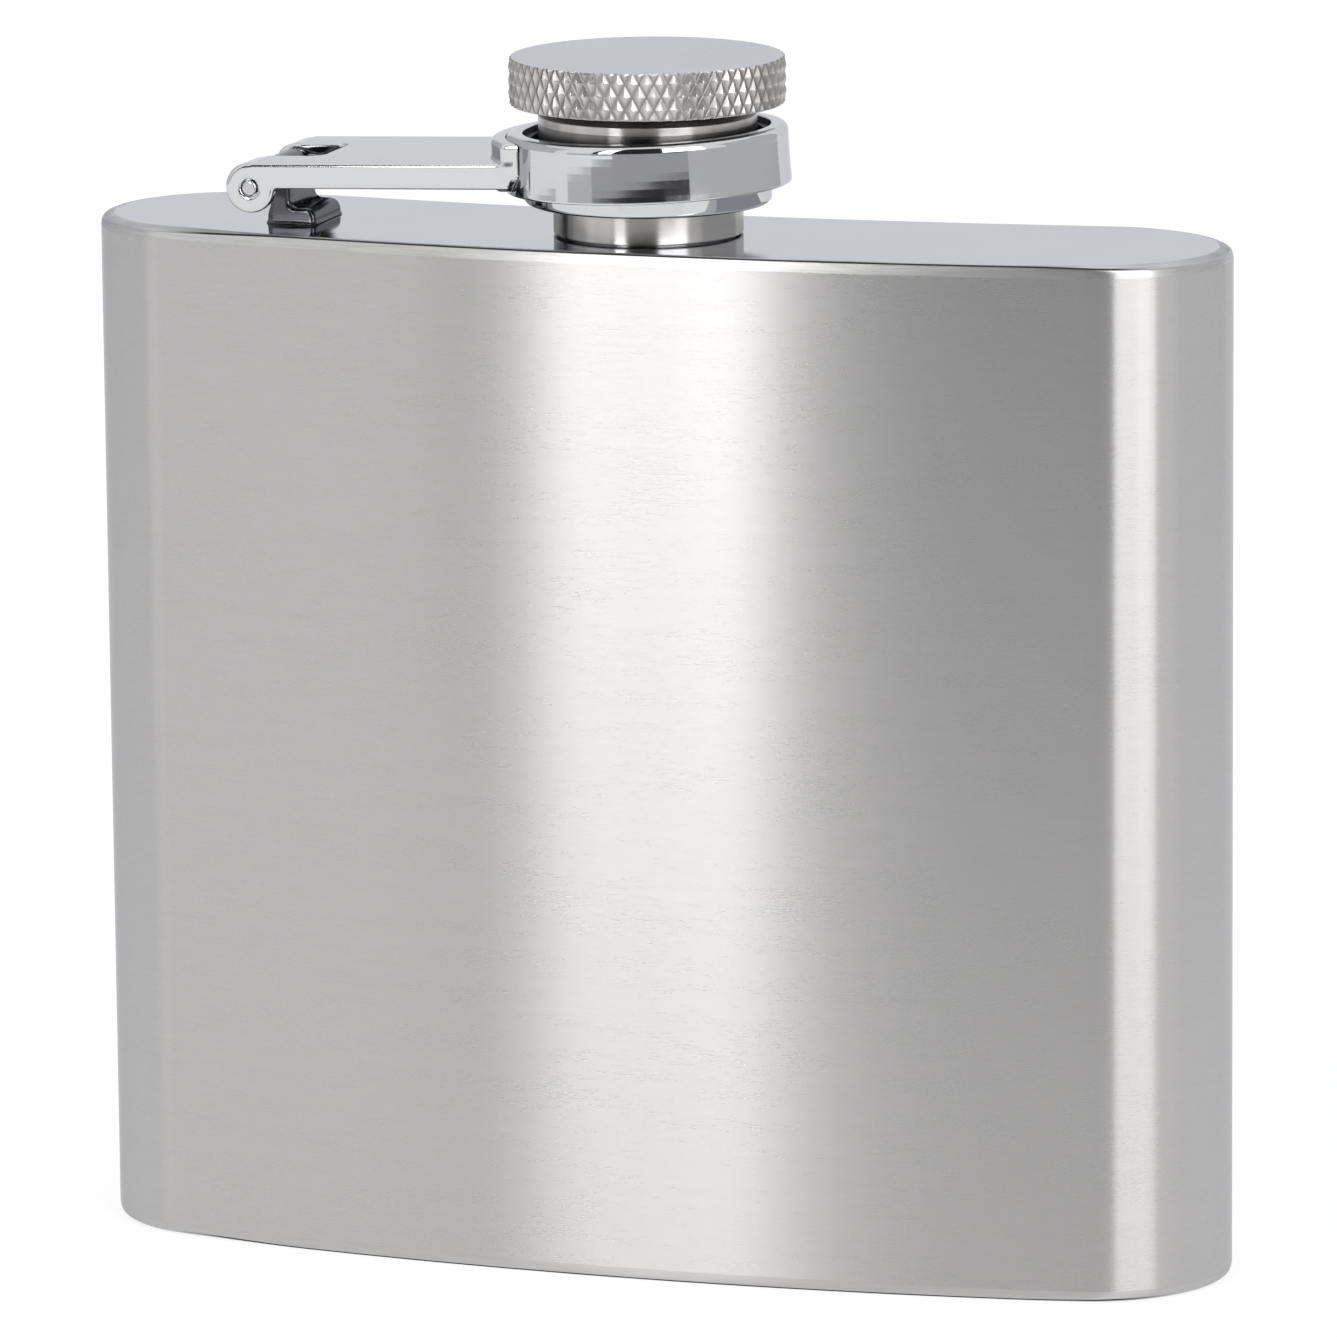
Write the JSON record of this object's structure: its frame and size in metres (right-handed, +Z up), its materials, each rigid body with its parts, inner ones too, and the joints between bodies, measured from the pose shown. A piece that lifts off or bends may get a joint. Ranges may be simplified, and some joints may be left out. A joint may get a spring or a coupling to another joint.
{
  "type": "hip flask",
  "caption": "Curved steel pocket flask with a rounded kidney section, a threaded neck and a knurled screw cap held captive by a hinged arm and collar.",
  "frame": {"origin": "centre of the base of the whole box; the axis of the neck stands 1 mm forward of it, midway between front and back on the centre line", "axes": "+Z up along the neck, +X along the width away from the hinge, -Y towards the bowed front"},
  "size_m": [0.095, 0.0249, 0.0984],
  "materials": {
    "brushed_steel": "finely brushed along the width",
    "polished_steel": "polished",
    "knurled_steel": "satin top, diamond-knurled rim",
    "chrome": "mirror",
    "seal": "matt"
  },
  "bodies": {
    "flask": {"body_sleeve": "brushed_steel", "top_plate": "polished_steel", "bottom_plate": "polished_steel", "neck": "polished_steel", "hinge_bracket": "polished_steel", "hinge_pin": "polished_steel"},
    "arm": {"hinge_arm": "chrome", "collar": "chrome"},
    "seal": {"cap_gasket": "seal"},
    "cap": {"cap_skirt": "polished_steel", "cap_head": "knurled_steel"}
  },
  "joints": [
    {"name": "arm_swing", "type": "hinge", "parent": "flask", "child": "arm", "pos_m": [-0.0313, -0.00098, 0.08755], "axis": [0, -1, 0], "range_deg": [0, 180]},
    {"name": "cap_lift", "type": "slide", "parent": "arm", "child": "seal", "axis": [0, 0, 1], "range_m": [0, 0.0026]},
    {"name": "cap_turn", "type": "hinge", "parent": "seal", "child": "cap", "pos_m": [0, -0.00098, 0.09], "axis": [0, 0, 1], "range_deg": [0, 720]}
  ],
  "couplings": [
    {"joint": "cap_lift", "follows": "cap_turn", "m_per_rad": 0.0002069}
  ]
}
